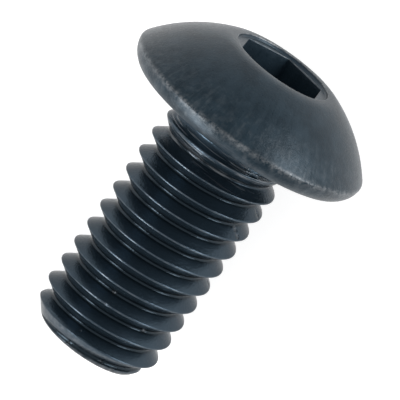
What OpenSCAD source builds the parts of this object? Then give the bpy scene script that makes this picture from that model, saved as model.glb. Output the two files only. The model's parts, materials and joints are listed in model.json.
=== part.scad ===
// Button head cap screw with a hexagon socket, M5 x 0.8, fully threaded.
// The screw is drawn along its own axis: the bearing face of the head is z = 0, the head
// rises above it and the shank hangs below. It is then laid on the floor, z = 0, where it
// touches at the rim of the head and at the last full crest of the thread. All lengths in mm.

/* [Head] */
// Diameter of the head at its widest
head_d = 9.2; // [8.6:0.05:12]
// Height of the head above the bearing face
head_h = 2.5; // [2.2:0.05:3.4]
// Height of the widest point of the rim above the bearing face
rim_h = 0.6; // [0.4:0.05:0.7]
// Radius of the rounded edge below the widest point
rim_r = 0.75; // [0.72:0.01:1.2]
// Radius of the soft edge where the crown meets the rim
crease_r = 0.16; // [0.05:0.01:0.3]
// Diameter of the flat land on top of the crown, round the socket
land_d = 4.3; // [4.0:0.05:5]

/* [Socket] */
// Size of the hexagon across its flats
socket_af = 3.02; // [2:0.01:3.15]
// Depth of the hexagon from the top of the head
socket_depth = 1.6; // [1.2:0.05:1.7]
// Width of the flat ring left in the floor of the socket, between its flats and the blunt cone
floor_ring = 0.21; // [0.1:0.01:0.4]
// Depth of that cone
floor_cone = 0.25; // [0.1:0.05:0.4]
// How far the shallow round recess at the mouth reaches past the corners of the hexagon
recess_rim = 0.11; // [0.05:0.01:0.15]
// Depth of that recess
recess_depth = 0.11; // [0.05:0.01:0.2]
// How far the wall of the recess leans in from top to bottom
recess_lean = 0.03; // [0.01:0.005:0.03]
// Turn of the hexagon about the axis of the screw, in degrees
socket_turn = 59.5; // [0:0.5:60]

/* [Shank] */
// Length from the bearing face to the tip
length = 9.6; // [6:0.1:30]
// Diameter of the plain neck between the head and the thread
neck_d = 4.3; // [4.1:0.01:4.5]
// Length of the plain neck
neck_len = 0.34; // [0.3:0.01:1]
// Radius of the fillet between the neck and the bearing face
fillet_r = 0.3; // [0.15:0.01:0.3]
// Diameter of the flat end of the tip
tip_d = 3.8; // [3.2:0.05:3.9]
// Length of the chamfer at the tip
tip_len = 0.7; // [0.3:0.05:1.2]

/* [Thread] */
// Diameter over the crests
thread_d = 4.83; // [4.7:0.01:5]
// Advance of the thread in one turn
pitch = 0.8; // [0.6:0.05:1]
// Depth from crest to root
thread_depth = 0.445; // [0.3:0.005:0.5]
// Width of the blunt crest
crest_w = 0.09; // [0.06:0.01:0.2]
// Width of the flat at the root
root_w = 0.1; // [0.05:0.01:0.2]
// Length over which the thread runs out into the neck
runout_len = 1.3; // [0.4:0.1:2]
// Place of the first crest below the bearing face, on the side that lies on the floor
first_crest = 0.57; // [0.5:0.01:1]
// Flat facets in one turn of the thread
turn_steps = 36; // [24:2:48]

/* [Hidden] */

finish = "#2b333a";
$fn = 96;
// A little more than nothing, where cuts pass a face and solids run into each other.
overlap = 0.02;

head_r = head_d / 2;
land_r = land_d / 2;
socket_d = socket_af / cos(30);
recess_r = socket_d / 2 + recess_rim;
neck_r = neck_d / 2;
tip_r = tip_d / 2;
crest_r = thread_d / 2;
root_r = crest_r - thread_depth;

// The crown is a sphere centred on the axis, through the widest point and the land's edge.
crown_z = (land_r ^ 2 - head_r ^ 2 + head_h ^ 2 - rim_h ^ 2) / (2 * (head_h - rim_h));
crown_centre = [0, crown_z];
crown_r = norm([head_r, rim_h - crown_z]);
// Centre of the rounded edge below the widest point.
rim_centre = [head_r - rim_r, rim_h];
// Round corners are drawn a hair larger, so that their arcs cross instead of only touching.
hair = 0.002;

// Where two circles cross, on the side away from the axis.
function crossing(a, ra, b, rb) =
    let (
        gap = norm(b - a),
        along = (b - a) / gap,
        across = [along[1], -along[0]],
        foot = (ra ^ 2 - rb ^ 2 + gap ^ 2) / (2 * gap)
    )
    a + foot * along + sqrt(ra ^ 2 - foot ^ 2) * across;

// Direction, in degrees from the axis, of the line from a point that touches a circle on the
// side away from the axis.
function touching(from, centre, radius) =
    let (arm = centre - from)
    atan2(arm[0], arm[1]) + asin(radius / norm(arm));

// The soft crease lies inside the crown and the rounded edge, and touches both.
crease_centre = crossing(crown_centre, crown_r - crease_r, rim_centre, rim_r - crease_r);
crease_top = crown_centre + (crease_centre - crown_centre) * crown_r / (crown_r - crease_r);
crease_foot = rim_centre + (crease_centre - rim_centre) * rim_r / (rim_r - crease_r);

// How it lies: the floor touches the rounded edge of the head and the last full crest of the
// thread, along the crest's lower edge.
full_crests = floor((length - tip_len - first_crest - crest_w / 2) / pitch);
rest_z = -first_crest - full_crests * pitch - crest_w / 2;
slope = touching([crest_r, rest_z], rim_centre, rim_r);
// The crest climbs along its facet on the floor. The rod is turned this far, in degrees, so
// that both corners of that facet touch the floor.
level_turn = -asin(tan(slope) * pitch / turn_steps / (2 * crest_r * tan(180 / turn_steps)));
// Height of the bearing face's centre over the floor, and how far each end reaches from it.
rest_height = crest_r * cos(slope) - rest_z * sin(slope);
tip_reach = length * cos(slope) + tip_r * sin(slope);
head_reach = head_h * cos(slope) + land_r * sin(slope);

// ---- Head ----

// Half of the head's section, right of the axis, before the crease is softened.
module sharp_section() {
    intersection() {
        translate(crown_centre) circle(r = crown_r);
        union() {
            translate([0, rim_h]) square([head_r, head_h - rim_h]);
            square([rim_centre[0], head_h]);
            intersection() {
                translate(rim_centre) circle(r = rim_r);
                square([head_r, head_h]);
            }
        }
    }
}

module head_section() {
    edge = crease_foot - crease_top;
    outward = crease_r * [-edge[1], edge[0]] / norm(edge);
    difference() {
        sharp_section();
        polygon([crease_top, crease_foot, crease_foot + outward, crease_top + outward]);
    }
    translate(crease_centre) circle(r = crease_r + hair);
}

module socket() {
    floor_z = head_h - socket_depth;
    rotate([0, 0, socket_turn])
        translate([0, 0, floor_z])
            cylinder(d = socket_d, h = socket_depth + overlap, $fn = 6);
    translate([0, 0, floor_z - floor_cone])
        cylinder(d1 = 0, d2 = socket_af - 2 * floor_ring, h = floor_cone);
    translate([0, 0, head_h - recess_depth])
        cylinder(r1 = recess_r - recess_lean, r2 = recess_r, h = recess_depth);
    translate([0, 0, head_h])
        cylinder(r = recess_r, h = overlap);
}

// ---- Shank ----

// One turn's outline, as [part of the pitch above the crest, radius].
turn_outline = [
    [-crest_w / 2 / pitch, crest_r],
    [crest_w / 2 / pitch, crest_r],
    [0.5 - root_w / 2 / pitch, root_r],
    [0.5 + root_w / 2 / pitch, root_r]
];
outline_steps = len(turn_outline);

// The thread lies between two level rings. Above them its core goes on into the head.
ring_gap = 0.04;
low_z = -length;
high_z = -neck_len - ring_gap;
core_top = rim_h / 3;
core_r = neck_r - overlap;

// Rows of the outline, from below the tip to above the neck.
first_turn = -ceil((length - first_crest) / pitch) - 1;
rows = outline_steps * (2 - first_turn);

// Angle of a step, counted from the side on the floor, where the middle of a facet is.
function step_angle(step) = 360 * (step + 0.5) / turn_steps + level_turn;

// A point of the rod. The facets touch the true round from outside.
function rod_point(step, r, z) =
    let (corner_r = r / cos(180 / turn_steps))
    [corner_r * cos(step_angle(step)), corner_r * sin(step_angle(step)), z];

// Radius of the rod at z, where a thread with no ends would have the radius r.
function rod_radius(z, r) =
    let (
        fade = min(max((high_z - z) / runout_len, 0), 1),
        run_out = core_r + (r - core_r) * fade,
        chamfer = tip_r + (crest_r - tip_r) * (z + length) / tip_len
    )
    min(run_out, chamfer);

// Height of a row at a step. A row climbs by one pitch in a turn.
function row_z(row, step) =
    let (turn = first_turn + floor(row / outline_steps) + turn_outline[row % outline_steps][0])
    (turn + step_angle(step) / 360) * pitch - first_crest;

// Number of a ring's point, for the rings at the tip, below the neck and at the core's top.
function ring_at(ring, step) = turn_steps * (rows + ring) + step % turn_steps;

// Number of the point at a row and a step. A row that lies past a ring, or close to it, runs
// along the ring. After a full turn a row meets the row that is one outline further on.
function at(row, step) =
    let (z = row_z(row, step))
    z < low_z + ring_gap ? ring_at(0, step)
        : z > high_z - ring_gap ? ring_at(1, step)
        : step < turn_steps ? row * turn_steps + step
        : (row + outline_steps) * turn_steps;

// Two triangles between four points, less any that has no area because its points meet.
function patch(a, b, c, d) = [
    if (a != b && b != c && c != a) [a, b, c],
    if (a != c && c != d && d != a) [a, c, d]
];

module threaded_rod() {
    steps = [0 : turn_steps - 1];
    points = [
        for (row = [0 : rows - 1]) for (step = steps)
            let (z = row_z(row, step))
                rod_point(step, rod_radius(z, turn_outline[row % outline_steps][1]), z),
        for (step = steps) rod_point(step, tip_r, low_z),
        for (step = steps) rod_point(step, core_r, high_z),
        for (step = steps) rod_point(step, core_r, core_top)
    ];
    tip_face = [for (step = steps) ring_at(0, step)];
    top_face = [for (step = steps) ring_at(2, turn_steps - 1 - step)];
    sides = [
        for (step = steps) for (row = [0 : rows - 2])
            each patch(at(row, step), at(row + 1, step), at(row + 1, step + 1), at(row, step + 1)),
        for (step = steps)
            each patch(ring_at(1, step), ring_at(2, step), ring_at(2, step + 1), ring_at(1, step + 1))
    ];
    polyhedron(points = points, faces = concat([tip_face, top_face], sides), convexity = 6);
}

// The neck, from just inside the head down to the thread.
module neck_section() {
    translate([0, -neck_len]) square([neck_r, neck_len + overlap]);
}

// The fillet between the neck and the bearing face.
module fillet_section() {
    corner = [neck_r + fillet_r, -fillet_r];
    difference() {
        translate([neck_r - overlap, -fillet_r]) square([fillet_r + overlap, fillet_r + overlap]);
        translate(corner) circle(r = fillet_r);
    }
}

// ---- The screw, laid on the floor ----

module head_and_neck() {
    difference() {
        rotate_extrude() {
            head_section();
            neck_section();
            fillet_section();
        }
        socket();
    }
}

module cap_screw() {
    color(finish)
        translate([(tip_reach - head_reach) / 2, 0, rest_height])
            rotate([0, 90 - slope, 0]) {
                head_and_neck();
                threaded_rod();
            }
}

cap_screw();
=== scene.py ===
"""Button head hex socket cap screw, M5 x 0.8 x 10, in black oxide: the piece with its helical
thread, its finish, the floor, the lights and the camera. Sizes are in millimetres."""
import json
import math

import bmesh
import bpy
import numpy as np
from mathutils import Matrix, Vector


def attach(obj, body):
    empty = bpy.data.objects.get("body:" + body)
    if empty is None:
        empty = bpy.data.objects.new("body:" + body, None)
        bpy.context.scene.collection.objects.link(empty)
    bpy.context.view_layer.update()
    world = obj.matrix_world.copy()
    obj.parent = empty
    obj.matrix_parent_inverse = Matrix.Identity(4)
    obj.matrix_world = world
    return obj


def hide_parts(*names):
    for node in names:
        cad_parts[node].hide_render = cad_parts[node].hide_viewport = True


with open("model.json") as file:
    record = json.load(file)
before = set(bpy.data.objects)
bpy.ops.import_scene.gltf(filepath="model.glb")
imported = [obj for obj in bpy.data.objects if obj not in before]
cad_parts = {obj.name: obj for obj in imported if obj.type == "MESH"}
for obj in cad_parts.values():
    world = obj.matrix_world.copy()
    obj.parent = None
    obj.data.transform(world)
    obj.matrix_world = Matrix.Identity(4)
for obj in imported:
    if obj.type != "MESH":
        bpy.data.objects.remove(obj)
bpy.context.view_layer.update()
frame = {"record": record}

MM = 0.001
TURN = 2 * math.pi

# ---- Sizes, as in the solid ----

# Head
HEAD_R, HEAD_H = 4.6, 2.5
RIM_H, RIM_R = 0.6, 0.75
CREASE_R = 0.16
LAND_R = 2.15
# Socket
SOCKET_AF, SOCKET_DEPTH = 3.02, 1.6
FLOOR_RING, FLOOR_CONE = 0.21, 0.25
RECESS_RIM, RECESS_DEPTH, RECESS_LEAN = 0.11, 0.11, 0.03
SOCKET_TURN = math.radians(59.5)
# Shank
LENGTH = 9.6
NECK_R, NECK_LEN, FILLET_R = 2.15, 0.34, 0.3
TIP_R, TIP_LEN = 1.9, 0.7
# Thread
CREST_R, PITCH, THREAD_DEPTH = 2.415, 0.8, 0.445
RUNOUT_LEN = 1.3
FIRST_CREST = 0.57  # below the bearing face, on the side that lies on the floor

# ---- Sizes that only the visual model has ----

CREST_W, ROOT_W = 0.05, 0.09  # the solid's are 0.09 and 0.1, with sharp corners
CREST_ROUND, ROOT_ROUND = 0.022, 0.035  # how much the thread's corners are rounded
CHAMFER_ROUND = 0.02  # how much the edges are rounded where the chamfer cuts the thread
EDGE_R = 0.035  # the small rounding of the edges of the socket and the recess
TIP_ROUND = 0.09  # the rounding between the tip's flat end and its chamfer
LAND_ROUND = 0.25  # how far the crown is eased into the land, to each side of their edge
DENT_DEPTH = 0.05  # the depth of the small dents at their middle

# ---- How strongly the edges are rubbed, or painted with a highlight, and how far from the edge it reaches ----

CREASE_RUB_AND_HIGHLIGHT, CREASE_RUB_AND_HIGHLIGHT_W = 0.55, 0.07  # the crease between the crown and the rim: rubbed oxide and a painted highlight along it
RIM_RUB_AND_HIGHLIGHT_W = 0.15  # how far down the rim the crease's rubbed band and painted highlight reach
CREST_RUB_AND_HIGHLIGHT, CREST_RUB_AND_HIGHLIGHT_W = 0.4, 0.016  # the middle of the thread's crest: rubbed oxide and a painted highlight
CHAMFER_WEAR = 0.8  # the tip's chamfer
# These stand for the corner that a rounded edge bends round, and half of them reaches the skin.
TIP_WEAR, RECESS_WEAR, HEXAGON_WEAR = 1, 2, 1

COLUMNS = 192  # a multiple of 6, so that the hexagon's corners fall on columns

# ---- The screw's own frame ----
# Height z runs along the axis from the bearing face towards the head. Angles turn about the
# axis from the side that faces up, so that the side on the floor is at half a turn.

mounts = {mount["name"]: mount for mount in frame["record"]["mounts"]}
bearing_centre = Vector(mounts["thread"]["pos_m"])
axis = -Vector(mounts["thread"]["axis"])
upward = (Vector((0, 0, 1)) - axis * axis.z).normalized()
screw_axes = Matrix((upward, axis.cross(upward), axis)).transposed()
screw_place = Matrix.Translation(bearing_centre) @ screw_axes.to_4x4()

# The last column lies on the first, one turn on.
angles = SOCKET_TURN + TURN * np.arange(COLUMNS + 1) / COLUMNS


def ring(radius, height, rub_and_highlight=0):
    """One row of the skin: the radius, the height and how rubbed, or painted with a highlight, each
    column is.
    """
    return np.array(np.broadcast_arrays(radius, height, rub_and_highlight, angles)[:3], dtype=float)


def line(start, end, steps):
    """Rows from one row to another, at the given shares of the way."""
    return [start * (1 - t) + end * t for t in steps]


def bend(start, corner, end, count):
    """Rows along a curve from one row to another that rounds the corner between them."""
    steps = np.linspace(0, 1, count + 1)[1:]
    return [(1 - t) ** 2 * start + 2 * t * (1 - t) * corner + t ** 2 * end for t in steps]


def arc(centre, radius, start, end, count):
    """Rows along an arc of the section. Its angles are in degrees from the +r direction."""
    turns = np.radians(np.linspace(start, end, count + 1)[1:])
    return [ring(centre[0] + radius * math.cos(t), centre[1] + radius * math.sin(t)) for t in turns]


# ---- Thread ----

# A crest's height above the bearing face, on the side that faces up.
HELIX_START = -FIRST_CREST - PITCH / 2

# Where the rows lie on half a turn, as shares of the pitch from the crest: close together
# over the crest and in the root, and further apart on the flank.
HALF_ROWS = np.array((0.012, 0.024, 0.036, 0.048, 0.065, 0.12, 0.2, 0.29,
                      0.37, 0.41, 0.435, 0.465))
PHASES = np.concatenate(([0], HALF_ROWS, [0.5], 1 - HALF_ROWS[::-1]))


def soft_min(a, b, width):
    """The smaller of two values, with the corner between them rounded over a width."""
    near = np.clip(0.5 + 0.5 * (b - a) / width, 0, 1)
    return b * (1 - near) + a * near - width * near * (1 - near)


def phase_at(z, angle):
    """How many turns of the thread lie below a point. On a crest it is a whole number."""
    return (z - HELIX_START) / PITCH - angle / TURN


def from_crest(phase):
    """Distance along the axis from the nearest crest."""
    return PITCH * np.abs((phase + 0.5) % 1 - 0.5)


def thread_height(phase):
    """How high the thread stands at a phase, from 0 at the root to 1 at the crest."""
    flank_w = (PITCH - ROOT_W - CREST_W) / 2
    flank = 1 - (from_crest(phase) - CREST_W / 2) / flank_w
    above_root = -soft_min(-flank, np.zeros_like(flank), ROOT_ROUND / THREAD_DEPTH)
    return soft_min(above_root, np.ones_like(flank), CREST_ROUND / THREAD_DEPTH)


def shank_radius(z, phase):
    """The radius of the shank at a height, with the run-out and the chamfer of the tip."""
    fade = np.clip((-NECK_LEN - z) / RUNOUT_LEN, 0, 1)
    root = NECK_R + (CREST_R - THREAD_DEPTH - NECK_R) * fade
    crest = NECK_R + (CREST_R - NECK_R) * fade
    chamfer = TIP_R + (CREST_R - TIP_R) * (z + LENGTH) / TIP_LEN
    return soft_min(root + (crest - root) * thread_height(phase), chamfer, CHAMFER_ROUND)


def shank_wear_and_highlight(z, phase):
    """How much the oxide is rubbed: along the middle of the full crests, where it is also a painted
    highlight, and on the chamfer.
    """
    full = np.clip((-NECK_LEN - z) / RUNOUT_LEN, 0, 1) * (z > TIP_LEN - LENGTH)
    on_crest = CREST_RUB_AND_HIGHLIGHT * full * np.exp(-(from_crest(phase) / CREST_RUB_AND_HIGHLIGHT_W) ** 2)
    on_chamfer = CHAMFER_WEAR * np.clip((TIP_LEN - LENGTH - z) / (TIP_LEN / 2), 0, 1)
    return on_crest + on_chamfer * thread_height(phase)


def thread_rows(low, high):
    """The rows of the helix between two planes. Where a row leaves them, it lies on the plane."""
    first = math.floor(phase_at(low, angles[-1])) - 1
    last = math.ceil(phase_at(high, angles[0])) + 1
    rows = []
    for turn in range(first, last):
        for phase in PHASES:
            z = np.clip(HELIX_START + PITCH * (turn + phase + angles / TURN), low, high)
            here = phase_at(z, angles)
            rows.append(ring(shank_radius(z, here), z, shank_wear_and_highlight(z, here)))
    return rows


# Small dents in the thread: height along the axis, angle in degrees, and width.
DENTS = (
    (-2.23, 83, 0.16), (-2.96, 66, 0.14), (-3.10, 67, 0.14), (-5.42, 96, 0.12),
    (-6.99, -6, 0.10), (-7.39, -5, 0.08), (-7.64, 45, 0.12), (-8.17, 28, 0.09),
    (-8.76, -10, 0.06), (-9.34, 24, 0.08), (-9.43, -14, 0.08), (-9.46, 40, 0.10),
)


def dent_centres():
    """The middle of each dent, on the skin of the shank."""
    centres = []
    for z, degrees, _ in DENTS:
        angle = math.radians(degrees)
        radius = float(shank_radius(np.array(z), np.array(phase_at(z, angle))))
        centres.append((radius * math.cos(angle), radius * math.sin(angle), z))
    return centres


def press_dents(points):
    """Press the points of the skin in towards the axis at each dent."""
    for centre, (_, _, width) in zip(dent_centres(), DENTS):
        away = np.linalg.norm(points - centre, axis=-1, keepdims=True)
        depth = DENT_DEPTH * np.exp(-(away / (width / 2)) ** 2)
        radius = np.linalg.norm(points[..., :2], axis=-1, keepdims=True)
        # No dent is near the axis, and the lower limit only keeps the radius from being 0.
        points[..., :2] *= 1 - depth / np.maximum(radius, TIP_R / 2)


def shank_rows():
    """The flat end of the tip, its rounded edge and the thread up to the neck's fillet."""
    thread = thread_rows(-LENGTH + TIP_ROUND, -FILLET_R)
    flat_end = ring(TIP_R - TIP_ROUND, -LENGTH)
    tip = line(ring(0, -LENGTH), flat_end, (0, 0.3, 0.6, 0.85, 1))
    tip += bend(flat_end, ring(TIP_R, -LENGTH, TIP_WEAR), thread[0], 5)
    return tip + thread


# ---- Head ----

def crossing(a, ra, b, rb):
    """Where two circles of the section cross, on the side away from the axis."""
    gap = b - a
    length = np.linalg.norm(gap)
    along = gap / length
    foot = (ra ** 2 - rb ** 2 + length ** 2) / (2 * length)
    return a + foot * along + math.sqrt(ra ** 2 - foot ** 2) * np.array((along[1], -along[0]))


def direction(centre, point):
    """The direction from one point of the section to another, in degrees from +r."""
    arm = np.subtract(point, centre)
    return math.degrees(math.atan2(arm[1], arm[0]))


def head_rows():
    """The neck's fillet, the bearing face, the rim, the crease, the crown and the land."""
    crown_z = (LAND_R ** 2 - HEAD_R ** 2 + HEAD_H ** 2 - RIM_H ** 2) / (2 * (HEAD_H - RIM_H))
    crown = np.array((0, crown_z))
    crown_r = math.hypot(HEAD_R, RIM_H - crown_z)
    rim = np.array((HEAD_R - RIM_R, RIM_H))
    crease = crossing(crown, crown_r - CREASE_R, rim, RIM_R - CREASE_R)
    rim_end, crown_start = direction(rim, crease), direction(crown, crease)
    bearing_r = HEAD_R - RIM_R + math.sqrt(RIM_R ** 2 - RIM_H ** 2)
    crown_end = direction(crown, (LAND_R, HEAD_H)) - math.degrees(LAND_ROUND / crown_r)

    rows = arc((NECK_R + FILLET_R, -FILLET_R), FILLET_R, 180, 90, 8)
    rows += line(rows[-1], ring(bearing_r, 0), np.linspace(0, 1, 8)[1:])
    rows += arc(rim, RIM_R, direction(rim, (bearing_r, 0)), rim_end, 24)
    rows += arc(crease, CREASE_R, rim_end, crown_start, 8)
    rows += arc(crown, crown_r, crown_start, crown_end, 40)
    # The crease and the rim just below it get a pale band: rubbed oxide with a painted highlight
    # along the crease and down the rim.
    middle = math.radians((rim_end + crown_start) / 2)
    crease_edge = crease + CREASE_R * np.array((math.cos(middle), math.sin(middle)))
    for row in rows:
        away = math.dist(row[:2, 0], crease_edge)
        width = RIM_RUB_AND_HIGHLIGHT_W if row[1, 0] < crease_edge[1] else CREASE_RUB_AND_HIGHLIGHT_W
        row[2] = CREASE_RUB_AND_HIGHLIGHT * math.exp(-(away / width) ** 2)
    rows += bend(rows[-1], ring(LAND_R, HEAD_H), ring(LAND_R - LAND_ROUND, HEAD_H), 8)
    return rows


def socket_rows():
    """The recess, the hexagon, its floor and the blunt cone, from the land inwards."""
    from_flat = (angles - SOCKET_TURN) % (TURN / 6) - TURN / 12
    hexagon = SOCKET_AF / 2 / np.cos(from_flat)
    recess_r = SOCKET_AF / 2 / math.cos(TURN / 12) + RECESS_RIM
    recess_z = HEAD_H - RECESS_DEPTH
    foot_r = recess_r - RECESS_LEAN
    floor_z = HEAD_H - SOCKET_DEPTH
    cone = ring(SOCKET_AF / 2 - FLOOR_RING, floor_z)
    mouth = ring(recess_r, HEAD_H, RECESS_WEAR)
    brink = ring(hexagon, recess_z, HEXAGON_WEAR)

    rows = [ring(recess_r + EDGE_R, HEAD_H)]
    rows += bend(rows[-1], mouth, ring(recess_r, HEAD_H - EDGE_R), 5)
    rows += bend(rows[-1], ring(foot_r, recess_z), ring(foot_r - EDGE_R, recess_z), 5)
    rows += line(rows[-1], ring(hexagon + EDGE_R, recess_z), (0.35, 0.7, 1))
    rows += bend(rows[-1], brink, ring(hexagon, recess_z - EDGE_R), 4)
    rows += line(rows[-1], ring(hexagon, floor_z), np.linspace(0, 1, 9)[1:])
    rows += line(rows[-1], cone, (0.1, 0.5, 1))
    rows += line(cone, ring(0, floor_z - FLOOR_CONE), np.linspace(0, 1, 7)[1:])
    return rows


# ---- The piece ----

WELD = 1e-8  # points that lie nearer than this, in metres, become one
SHARP = math.radians(50)  # an edge that turns by more than this is shaded as a sharp one


def make_screw():
    """One closed skin over all the rows, welded where rows and columns meet."""
    rows = np.array(shank_rows() + head_rows() + socket_rows())
    radii, heights, wear_and_highlight = rows[:, 0], rows[:, 1], rows[:, 2]
    points = np.stack((radii * np.cos(angles), radii * np.sin(angles), heights), axis=-1)
    press_dents(points)
    spots = np.arange(radii.size).reshape(radii.shape)
    corners = spots[:-1, :-1], spots[:-1, 1:], spots[1:, 1:], spots[1:, :-1]
    faces = np.stack(corners, axis=-1).reshape(-1, 4)

    mesh = bpy.data.meshes.new("screw")
    mesh.from_pydata(points.reshape(-1, 3) * MM, [], faces.tolist())
    mesh.attributes.new("rub_and_highlight", "FLOAT", "POINT").data.foreach_set("value", wear_and_highlight.ravel())
    place = mesh.attributes.new("own place", "FLOAT_VECTOR", "POINT")
    place.data.foreach_set("vector", points.ravel())
    skin = bmesh.new()
    skin.from_mesh(mesh)
    bmesh.ops.remove_doubles(skin, verts=skin.verts, dist=WELD)
    skin.to_mesh(mesh)
    skin.free()
    mesh.transform(screw_place)
    mesh.shade_smooth()
    mesh.set_sharp_from_angle(angle=SHARP)
    screw = bpy.data.objects.new("screw", mesh)
    bpy.context.scene.collection.objects.link(screw)
    return screw


# ---- Materials ----

NOISE_ROUGHNESS = 0.62  # how much the finer layers of a noise add to it


class Nodes:
    """A short way to write the nodes of a material or a world."""

    def __init__(self, owner):
        self.owner = owner
        owner.use_nodes = True
        self.tree = owner.node_tree
        self.tree.nodes.clear()

    def add(self, kind, inputs=None, **settings):
        """A new node. An input is a number, a colour, a vector or another node's socket."""
        node = self.tree.nodes.new("ShaderNode" + kind)
        for key, value in settings.items():
            setattr(node, key, value)
        for key, value in (inputs or {}).items():
            if isinstance(value, bpy.types.NodeSocket):
                self.tree.links.new(value, node.inputs[key])
            else:
                node.inputs[key].default_value = value
        return node

    def maths(self, operation, a, b):
        return self.add("Math", {0: a, 1: b}, operation=operation).outputs[0]

    def times(self, a, b):
        return self.maths("MULTIPLY", a, b)

    def plus(self, a, b):
        return self.maths("ADD", a, b)

    def minus(self, a, b):
        return self.maths("SUBTRACT", a, b)

    def larger(self, a, b):
        return self.maths("MAXIMUM", a, b)

    def vectors(self, operation, a, b=(0, 0, 0)):
        return self.add("VectorMath", {0: a, 1: b}, operation=operation).outputs

    def scaled(self, place, factors):
        return self.vectors("MULTIPLY", place, factors)[0]

    def between(self, value, low, high):
        """0 at the low value and 1 at the high one, also beyond them."""
        inputs = {"Value": value, "From Min": low, "From Max": high}
        return self.add("MapRange", inputs).outputs[0]

    def ranging(self, share, start, end):
        """The start value where the share is 0 and the end value where it is 1."""
        return self.add("MapRange", {"Value": share, "To Min": start, "To Max": end}).outputs[0]

    def mixed(self, share, start, end):
        return self.add("MixRGB", {"Fac": share, "Color1": start, "Color2": end}).outputs[0]

    def noise(self, place, scale, detail):
        """Noise over a place. Its value lies about 0.5."""
        inputs = {"Vector": place, "Scale": scale, "Detail": detail, "Roughness": NOISE_ROUGHNESS}
        return self.add("TexNoise", inputs).outputs["Fac"]

    def jittered(self, place, scale, reach):
        """A place moved a little by a noise, so that a round mark gets a ragged edge."""
        noise = self.add("TexNoise", {"Vector": place, "Scale": scale}).outputs["Color"]
        shift = self.vectors("SUBTRACT", noise, (0.5, 0.5, 0.5))[0]
        return self.vectors("ADD", place, self.scaled(shift, [reach] * 3))[0]

    def seen(self):
        """1 for the camera and for what shows in gloss or glass, and 0 for other light."""
        rays = self.add("LightPath").outputs
        shown = self.larger(rays["Is Camera Ray"], rays["Is Glossy Ray"])
        return self.larger(shown, rays["Is Transmission Ray"])


OXIDE_DARK = (0.001, 0.010, 0.018, 1)
OXIDE_LIGHT = (0.010, 0.024, 0.036, 1)
# Painted light: the thread's lighter colour brightens its shaded grooves and, in part, the socket.
THREAD_OXIDE_PAINTED_LIGHT = (0.040, 0.060, 0.080, 1)
# Painted shade: the darker colour of the thread's root.
ROOT_PAINTED_SHADE = (0.011, 0.019, 0.026, 1)
PALE_RUB_AND_HIGHLIGHT = (0.25, 0.26, 0.27, 1)  # where the oxide is rubbed off, and for the painted highlights along the crease, the crests and the lines by the neck

# How far the shank and the socket are towards the lighter colour of the thread: painted light in
# the thread's grooves and in the socket.
SHANK_PAINTED_LIGHT, SOCKET_PAINTED_LIGHT = 0.6, 0.3
SHANK_METALLIC, HEAD_METALLIC = 0.7, 0.35
SPECULAR_LEVEL, SPECULAR_TINT = 0.55, (0.5, 0.5, 0.5, 1)

# Where one finish gives way to another: between two heights above the bearing face ...
SHANK_TO_HEAD = (-0.4, -0.1)
THREAD_TO_NECK = (-2.0, -1.2)
# ... or between two distances from the axis.
FLANK_TO_ROOT = (2.06, 2.0)
LAND_TO_SOCKET = (1.9, 1.8)
CROWN_TO_RIM = (3.4, 4.6)

# The scales of the noises. A larger one gives finer marks.
MOTTLE, BLOTCHES, GRAIN = 1.1, 4.5, 13.0
STREAKS_AROUND, STREAKS_ANYWHERE = 22, 0.9
LINES_AROUND, LINES_ALONG = 0.8, 18
DENT_EDGE, DENT_EDGE_REACH = 14.0, 0.15  # the ragged edge of a dent, and how far it strays

# Between which values of a noise, or of a sum of two, a mark goes from none to full.
MIDDLE_OF_NOISE = (0.35, 0.65)
FEW_LINES = (0.57, 0.65)
WORN_PATCHES = (0.8, 1.2)
HANDLED_PATCHES = (0.42, 0.62)

# How strongly the oxide is rubbed off where the edges aren't: a full mark's share. The lines by the
# neck are painted highlights as well as rubbed lines.
LINE_RUB_AND_HIGHLIGHT, HANDLED_WEAR, DENT_WEAR = 0.45, 0.12, 0.2
# How much of an edge's rubbing and painted highlight is left where the mottling is darkest, and
# what the lightest adds.
WEAR_IN_DARK, WEAR_IN_LIGHT = 0.5, 0.6
STREAK_TONE = 0.25  # how much lighter a streak is than the oxide beside it

ROUGHNESS = (0.08, 0.32)  # from the lowest value of the grain to the highest
STREAK_ROUGHER, HEAD_ROUGHER, ROOT_SMOOTHER = 0.05, 0.1, 0.1

# The fine relief: how high a line and how deep a dent is beside the grain, and how strong it is.
LINE_HEIGHT, DENT_FLOOR = 0.5, 2.5
RELIEF_STRENGTH, RELIEF_HEIGHT = 0.35, 0.03


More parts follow.
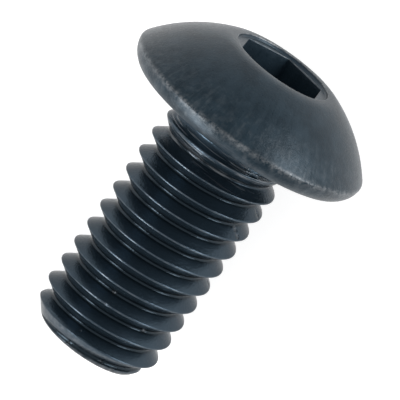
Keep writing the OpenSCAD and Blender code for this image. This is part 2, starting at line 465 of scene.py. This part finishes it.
class BlackOxide(Nodes):
    """Satin blue-black oxide: mottled, with a fine grain, and rubbed along its edges, with painted
    highlights on the crease and the crests, painted light on the thread and in the socket, and
    painted shade in the thread's root.
    """

    def __init__(self):
        super().__init__(bpy.data.materials.new("black oxide"))
        place = self.add("Attribute", attribute_name="own place").outputs["Vector"]
        self.set_zones(place)
        self.mottle = self.between(self.noise(place, MOTTLE, detail=5), *MIDDLE_OF_NOISE)
        self.blotch = self.noise(place, BLOTCHES, detail=3)
        self.grain = self.noise(place, GRAIN, detail=4)
        self.streaks = self.times(self.radial_streaks(place), self.on_head)
        self.lines = self.times(self.rolling_lines(place), self.near_neck)
        self.dents = self.near_dents(self.jittered(place, DENT_EDGE, DENT_EDGE_REACH))

    def set_zones(self, place):
        """Shares that are 1 in a zone of the screw and 0 outside of it."""
        along = self.add("SeparateXYZ", {0: place}).outputs["Z"]
        across = self.vectors("LENGTH", self.scaled(place, (1, 1, 0)))["Value"]
        self.on_head = self.between(along, *SHANK_TO_HEAD)
        self.on_shank = self.minus(1.0, self.on_head)
        self.in_root = self.times(self.on_shank, self.between(across, *FLANK_TO_ROOT))
        self.in_socket = self.times(self.on_head, self.between(across, *LAND_TO_SOCKET))
        self.near_neck = self.times(self.on_shank, self.between(along, *THREAD_TO_NECK))
        self.near_rim = self.between(across, *CROWN_TO_RIM)

    def radial_streaks(self, place):
        """Faint marks that run from the rim to the socket."""
        outward = self.vectors("NORMALIZE", self.scaled(place, (1, 1, 0)))[0]
        around = self.scaled(outward, [STREAKS_AROUND] * 3)
        anywhere = self.scaled(place, [STREAKS_ANYWHERE] * 3)
        spread = self.vectors("ADD", around, anywhere)[0]
        return self.between(self.noise(spread, 1, detail=3), *MIDDLE_OF_NOISE)

    def rolling_lines(self, place):
        """Fine broken lines round the axis."""
        spread = self.scaled(place, (LINES_AROUND, LINES_AROUND, LINES_ALONG))
        return self.between(self.noise(spread, 1, detail=1), *FEW_LINES)

    def near_dents(self, place):
        """1 at the middle of each dent and 0 outside of it."""
        nearest = 0.0
        for centre, (_, _, width) in zip(dent_centres(), DENTS):
            away = self.vectors("DISTANCE", place, centre)["Value"]
            nearest = self.larger(nearest, self.between(away, width, width / 3))
        return nearest

    def wear_and_highlight(self):
        """How much of the oxide is rubbed off, with the painted highlights along the crease, the
        crests and the lines by the neck.
        """
        rub_and_highlight = self.add("Attribute", attribute_name="rub_and_highlight").outputs["Fac"]
        patchy = self.between(self.plus(self.blotch, self.grain), *WORN_PATCHES)
        mottled = self.plus(self.times(self.mottle, WEAR_IN_LIGHT), WEAR_IN_DARK)
        handled = self.times(self.near_rim, self.between(self.blotch, *HANDLED_PATCHES))
        handled = self.times(self.streaks, handled)

        wear_and_highlight = self.times(rub_and_highlight, self.times(patchy, mottled))
        # The lines by the neck: rubbed lines and painted highlights.
        wear_and_highlight = self.larger(wear_and_highlight, self.times(self.lines, LINE_RUB_AND_HIGHLIGHT))
        wear_and_highlight = self.larger(wear_and_highlight, self.times(handled, HANDLED_WEAR))
        return self.larger(wear_and_highlight, self.times(self.dents, DENT_WEAR))

    def colour(self):
        """Mottled oxide, lighter on the thread and in the socket as painted light, darker in the
        thread's root as painted shade, and pale where it is rubbed or painted with a highlight.
        """
        streaks = self.times(self.minus(self.streaks, 0.5), STREAK_TONE)
        oxide = self.mixed(self.plus(self.mottle, streaks), OXIDE_DARK, OXIDE_LIGHT)
        # Painted light: the shank and the socket are lightened towards the thread's lighter colour.
        on_shank = self.times(self.on_shank, SHANK_PAINTED_LIGHT)
        in_socket = self.times(self.in_socket, SOCKET_PAINTED_LIGHT)
        oxide = self.mixed(self.plus(on_shank, in_socket), oxide, THREAD_OXIDE_PAINTED_LIGHT)
        # Painted shade: the thread's root is darkened.
        oxide = self.mixed(self.in_root, oxide, ROOT_PAINTED_SHADE)
        return self.mixed(self.wear_and_highlight(), oxide, PALE_RUB_AND_HIGHLIGHT)

    def roughness(self):
        """Rougher with the grain and on the head, and smoother in the thread's root."""
        rough = self.ranging(self.grain, *ROUGHNESS)
        rough = self.plus(rough, self.times(self.streaks, STREAK_ROUGHER))
        rough = self.plus(rough, self.times(self.on_head, HEAD_ROUGHER))
        return self.minus(rough, self.times(self.in_root, ROOT_SMOOTHER))

    def relief(self):
        """The way the surface faces, with its grain, its lines and the floor of its dents."""
        height = self.plus(self.grain, self.times(self.lines, LINE_HEIGHT))
        height = self.minus(height, self.times(self.dents, DENT_FLOOR))
        bump = {"Height": height, "Strength": RELIEF_STRENGTH, "Distance": RELIEF_HEIGHT * MM}
        return self.add("Bump", bump).outputs[0]


def black_oxide():
    """The material of the whole screw."""
    m = BlackOxide()
    shader = m.add("BsdfPrincipled", {
        "Base Color": m.colour(),
        "Metallic": m.ranging(m.on_head, SHANK_METALLIC, HEAD_METALLIC),
        "Specular IOR Level": SPECULAR_LEVEL,
        "Specular Tint": SPECULAR_TINT,
        "Roughness": m.roughness(),
        "Normal": m.relief()})
    m.add("OutputMaterial", {"Surface": shader.outputs[0]})
    return m.owner


WHITE = (1, 1, 1, 1)
FLOOR_WHITE = (0.9, 0.9, 0.9, 1)
FLOOR_LIFT = 0.42  # the glow that lifts the floor to the picture's white


def pale_floor():
    """Matt white, lifted to the picture's white where the camera or a reflection sees it."""
    m = Nodes(bpy.data.materials.new("pale floor"))
    matt = m.add("BsdfDiffuse", {"Color": FLOOR_WHITE}).outputs[0]
    lift = m.times(m.seen(), FLOOR_LIFT)
    glow = m.add("Emission", {"Color": WHITE, "Strength": lift}).outputs[0]
    surface = m.add("AddShader", {0: matt, 1: glow}).outputs[0]
    m.add("OutputMaterial", {"Surface": surface})
    return m.owner


# ---- Floor, lights and camera ----

FLOOR_REACH = 4000  # from its middle to each side
WORLD_SEEN, WORLD_LIGHT = 1.0, 0.5  # the world as it is seen, and the light it gives


def make_floor():
    """A white floor that fills the picture."""
    reach = FLOOR_REACH * MM
    mesh = bpy.data.meshes.new("floor")
    corners = [(-reach, -reach, 0), (reach, -reach, 0), (reach, reach, 0), (-reach, reach, 0)]
    mesh.from_pydata(corners, [], [(0, 1, 2, 3)])
    mesh.materials.append(pale_floor())
    floor = bpy.data.objects.new("floor", mesh)
    bpy.context.scene.collection.objects.link(floor)


def make_world():
    """White for what looks at it, and a dimmer even light for the rest."""
    m = Nodes(bpy.data.worlds.new("studio"))
    strength = m.ranging(m.seen(), WORLD_LIGHT, WORLD_SEEN)
    background = m.add("Background", {"Color": WHITE, "Strength": strength})
    m.add("OutputWorld", {"Surface": background.outputs[0]})
    bpy.context.scene.world = m.owner


def add_softbox(name, place, size, radiance):
    """A soft light that faces the screw, with its length along it. Lengths in millimetres."""
    light = bpy.data.lights.new(name, "AREA")
    light.shape = "RECTANGLE"
    light.size, light.size_y = size[0] * MM, size[1] * MM
    light.energy = radiance * math.pi * light.size * light.size_y
    softbox = bpy.data.objects.new(name, light)
    back = place.normalized()
    side = axis.cross(back).normalized()
    turned = Matrix((side, back.cross(side), back)).transposed()
    softbox.matrix_world = Matrix.Translation(place * MM) @ turned.to_4x4()
    bpy.context.scene.collection.objects.link(softbox)


# Where the picture shows the screw. The axis rises this far to the right, leans this far
# towards the camera, and the camera looks at a point beside the bearing face's centre.
AXIS_IN_PICTURE = math.radians(54.374)
AXIS_TO_CAMERA = math.radians(15.770)
BESIDE_BEARING = (-1.4497, -2.6134)
CAMERA_DISTANCE = 244.22
PIXELS_PER_MM = 29.140
PICTURE_W = 400  # in pixels

NEAREST_SEEN, FURTHEST_SEEN = 10, 10000  # nothing closer or further away is drawn

# How far to the right, up and towards the camera each softbox stands, its width and length, and
# its radiance. The highlights in the photo say in which directions they are.
SOFTBOXES = {
    "left": ((-309, -119, 114), (120, 360), 13.0),
    "right": ((316, -33, 148), (130, 360), 8.5),
}


def make_camera():
    """The camera of the photo. Gives its directions: to the right, up and towards the camera."""
    flat, lift = math.cos(AXIS_TO_CAMERA), math.sin(AXIS_TO_CAMERA)
    right, up = math.cos(AXIS_IN_PICTURE), math.sin(AXIS_IN_PICTURE)
    seen_axis = Vector((flat * right, flat * up, lift))
    seen_upward = Vector((-lift * right, -lift * up, flat))
    seen_axes = Matrix((seen_upward, seen_axis.cross(seen_upward), seen_axis)).transposed()
    turned = screw_axes @ seen_axes.transposed()
    beside = turned @ Vector((*BESIDE_BEARING, CAMERA_DISTANCE))
    camera = bpy.data.objects.new("camera", bpy.data.cameras.new("camera"))
    camera.matrix_world = Matrix.Translation(bearing_centre + beside * MM) @ turned.to_4x4()
    sensor = camera.data.sensor_width
    camera.data.lens = sensor * PIXELS_PER_MM * CAMERA_DISTANCE / PICTURE_W
    camera.data.clip_start, camera.data.clip_end = NEAREST_SEEN * MM, FURTHEST_SEEN * MM
    bpy.context.scene.collection.objects.link(camera)
    bpy.context.scene.camera = camera
    return turned


screw = make_screw()
screw.data.materials.append(black_oxide())
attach(screw, "root")
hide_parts("cap_screw")

make_floor()
make_world()
picture_axes = make_camera()
for name, (place, size, radiance) in SOFTBOXES.items():
    add_softbox(name, picture_axes @ Vector(place), size, radiance)
bpy.context.scene.view_settings.view_transform = "Standard"
